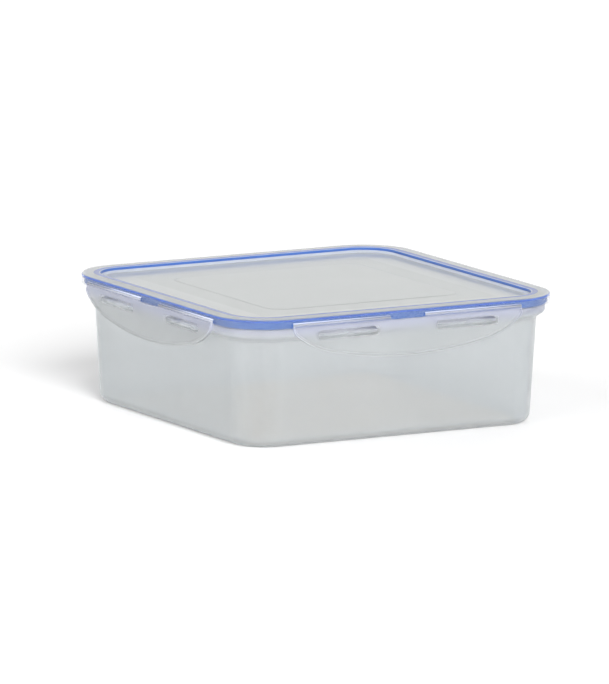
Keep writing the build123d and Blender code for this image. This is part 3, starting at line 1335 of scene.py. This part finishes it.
    def plate(self) -> Patch:
        """The closed flap: the same outline at its inner and outer face, joined along every edge.

        Near an edge, each face drops by r - sqrt(r^2 - (r - e)^2), where e is the distance to the edge and
        r the rounding.  The rim stands proud along the lower edge and the ends.  The haze is strongest at
        that edge, within 3 r of it, and weakest within 2 r of a slot.

        Returns:
            A closed shell at the front.
        """
        face = self.face()
        low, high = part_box("flap_front")
        x, z = face.points[:, 0], face.points[:, 2]
        along = np.linspace(0, SIZES.half_flap, self.slope_samples)
        slope = np.gradient(self.low_edge(along), along)
        lean = np.cos(np.arctan(np.interp(np.abs(x), along, slope)))
        to_rim = np.minimum((z - self.low_edge(x)) * lean, SIZES.half_flap - np.abs(x))
        to_top, to_slot = self.top_edge(x) - z, self.from_slots(x, z)
        edge = np.minimum(np.minimum(to_rim, to_top), to_slot).clip(0, self.rounding)
        drop = self.rounding - np.sqrt(self.rounding ** 2 - (self.rounding - edge) ** 2)
        fall_start, fall_end = (self.rim_width + part for part in self.rim_fall)
        raised = self.rim_height * (1 - smooth(to_rim, fall_start, fall_end))
        raised *= smooth(to_top, self.rim_end_drop - self.rim_end_fade, self.rim_end_drop)
        outer = np.stack([x, low.y + self.rim_height - raised + drop, z], axis=1)
        inner = np.stack([x, high.y - drop, z], axis=1)
        count = len(face.points)
        pairs = np.stack([face.faces.reshape(-1), np.roll(face.faces, -1, axis=1).reshape(-1)], axis=1)
        pairs = pairs[pairs[:, 0] != pairs[:, 1]]
        code = pairs[:, 0] * count + pairs[:, 1]
        lone = pairs[~np.isin(code, pairs[:, 1] * count + pairs[:, 0])]
        walls = np.stack([lone[:, 1], lone[:, 0], lone[:, 0] + count, lone[:, 1] + count], axis=1)
        whole = np.concatenate([face.faces, face.faces[:, ::-1] + count, walls])
        haze = 1 + (self.edge_haze - 1) * (1 - smooth(to_rim, 0.5 * self.rounding, 3 * self.rounding))
        haze *= self.slot_haze + (1 - self.slot_haze) * smooth(to_slot, 0, 2 * self.rounding)
        return Patch(np.concatenate([outer, inner]), whole, np.tile(haze, 2)).outward()

    def strips(self) -> Patch:
        """The two bending strips, each a round bead on the line that the flap swings about.

        Returns:
            Two closed shells at the front.
        """
        low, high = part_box("hinge_front")
        turn = np.linspace(0, 2 * math.pi, self.bead_sides + 1)[:-1]
        out, level = -high.y, (low.z + high.z) / 2
        ring = np.stack([out + self.bead_radius * np.cos(turn), level + self.bead_radius * np.sin(turn),
                         np.full_like(turn, self.bead_haze)], axis=1)
        inner, outer = SIZES.hinge
        return bar(ring, inner, outer).joined(bar(ring, -outer, -inner))

    def build(self, plastic: bpy.types.Material) -> None:
        """Makes the flap and its strips and puts them in the scene.

        Args:
            plastic: The material of both.
        """
        for kind, suffix, patch in (("flap_", "_plate", self.plate()), ("hinge_", "_strips", self.strips())):
            node = kind + self.side.label
            Piece.fit(Piece.mesh(node + suffix, patch.on(self.side)), node, node, "lid_plastic", plastic)


def direction(azimuth: float, elevation: float) -> Vector:
    """The way from the box to what stands at two angles in radians, where azimuth 0 is the front."""
    level = math.cos(elevation)
    return Vector((math.sin(azimuth) * level, -math.cos(azimuth) * level, math.sin(elevation)))


@dataclass(frozen=True)
class Lamp:
    """A broad soft lamp, far away.

    Angles are in degrees, strength is what it gives a surface that faces it, and mirrored tells whether
    polished surfaces reflect it.
    """

    name: str
    azimuth: float
    elevation: float
    spread: float
    strength: float
    mirrored: bool = False

    def build(self) -> None:
        """Puts the lamp in the scene."""
        data = bpy.data.lights.new(self.name, "SUN")
        data.angle = math.radians(self.spread)
        data.energy = math.pi * self.strength
        towards = direction(math.radians(self.azimuth), math.radians(self.elevation))
        lamp = bpy.data.objects.new(self.name, data)
        lamp.rotation_euler = towards.to_track_quat("Z", "Y").to_euler()
        lamp.visible_glossy = self.mirrored
        bpy.context.scene.collection.objects.link(lamp)


@dataclass(frozen=True)
class Studio:
    """The floor, the light and the camera.

    The camera's place is fitted to the outlines in the photograph: angles in degrees, lengths in metres,
    and the focal length in the photograph's pixels.
    """

    azimuth: float = -29.329
    elevation: float = 9.724
    roll: float = 0.340
    distance: float = 6.576295
    side_shift: float = -0.005713
    rise: float = 0.039953
    focal_pixels: float = 11381.568
    frame_height: int = 684
    sensor: float = 36.0
    farthest: float = 100.0
    ambient: float = 0.27
    lamps: tuple[Lamp, ...] = (
        Lamp("key", -13.0, 21.0, spread=32.0, strength=1.41),
        Lamp("fill", -88.0, 10.0, spread=80.0, strength=0.82),
        Lamp("back", 150.0, 14.0, spread=60.0, strength=0.55),
        Lamp("spark", -25.0, 52.0, spread=4.0, strength=0.05, mirrored=True))
    floor_bounce: float = 0.90
    floor_seen: float = 0.94
    floor_half: float = 30.0
    floor_roughness: float = 0.9
    see_through_faces: int = 48

    def camera(self) -> None:
        """Places the camera: back along the line of sight, then across and up in its own frame."""
        a, e, r = (math.radians(x) for x in (self.azimuth, self.elevation, self.roll))
        back = direction(a, e)
        right = Vector((math.cos(a), math.sin(a), 0))
        up = back.cross(right)
        across = right * math.cos(r) + up * math.sin(r)
        upright = up * math.cos(r) - right * math.sin(r)
        data = bpy.data.cameras.new("camera")
        data.sensor_width = self.sensor
        data.lens = self.focal_pixels / self.frame_height * self.sensor
        data.clip_end = self.farthest
        camera = bpy.data.objects.new("camera", data)
        place = back * self.distance + right * self.side_shift + up * self.rise
        axes = Matrix((across, upright, back)).transposed().to_4x4()
        camera.matrix_world = Matrix.Translation(place) @ axes
        bpy.context.scene.collection.objects.link(camera)
        bpy.context.scene.camera = camera

    @staticmethod
    def seen(wiring: Wiring) -> Socket:
        """Tells sight from light.

        Args:
            wiring: Adds the nodes.

        Returns:
            1 for what the camera sees, straight or in a reflection or through glass, and 0 otherwise.
        """
        path = wiring.add("LightPath").outputs
        mirrored = wiring.reckon("ADD", path["Is Glossy Ray"], path["Is Transmission Ray"])
        return wiring.reckon("ADD", path["Is Camera Ray"], mirrored, clamp=True)

    def floor(self) -> None:
        """Lays a wide pale floor that looks white and throws back a little less light."""
        h = self.floor_half
        patch = Patch(np.array([(-h, -h, 0), (h, -h, 0), (h, h, 0), (-h, h, 0)]), np.array([[0, 1, 2, 3]]))
        floor = Piece.mesh("floor", patch)
        material, wiring, shader = new_material("floor_paper")
        tone = wiring.mixed(self.seen(wiring), (self.floor_bounce,) * 3, (self.floor_seen,) * 3)
        wiring.fill(shader, {"Roughness": self.floor_roughness, "Specular IOR Level": 0.0,
                             "Base Color": tone})
        floor.data.materials.append(material)

    def light(self) -> None:
        """Sets an even sky, white where the camera or a reflection sees it, and the lamps."""
        world = bpy.data.worlds.new("studio")
        bpy.context.scene.world = world
        world.use_nodes = True
        wiring = Wiring(world.node_tree)
        level = wiring.reckon("MULTIPLY_ADD", self.seen(wiring), 1 - self.ambient, self.ambient)
        wiring.fill(world.node_tree.nodes["Background"], {"Color": (1.0, 1.0, 1.0), "Strength": level})
        for lamp in self.lamps:
            lamp.build()

    def build(self) -> None:
        """Sets up the whole studio."""
        self.camera()
        self.floor()
        self.light()
        bpy.context.scene.view_settings.view_transform = "Standard"
        bpy.context.scene.cycles.transparent_max_bounces = self.see_through_faces


def main() -> None:
    """Builds the studio and the box piece by piece."""
    logging.basicConfig(level=logging.INFO, format="%(name)s %(message)s")
    Studio().build()
    Tub().build()
    Seal().build()
    Lid().build()
    plastic = Flap.finish.material()
    for side in Side:
        Flap(side).build(plastic)


if __name__ == "__main__":
    main()
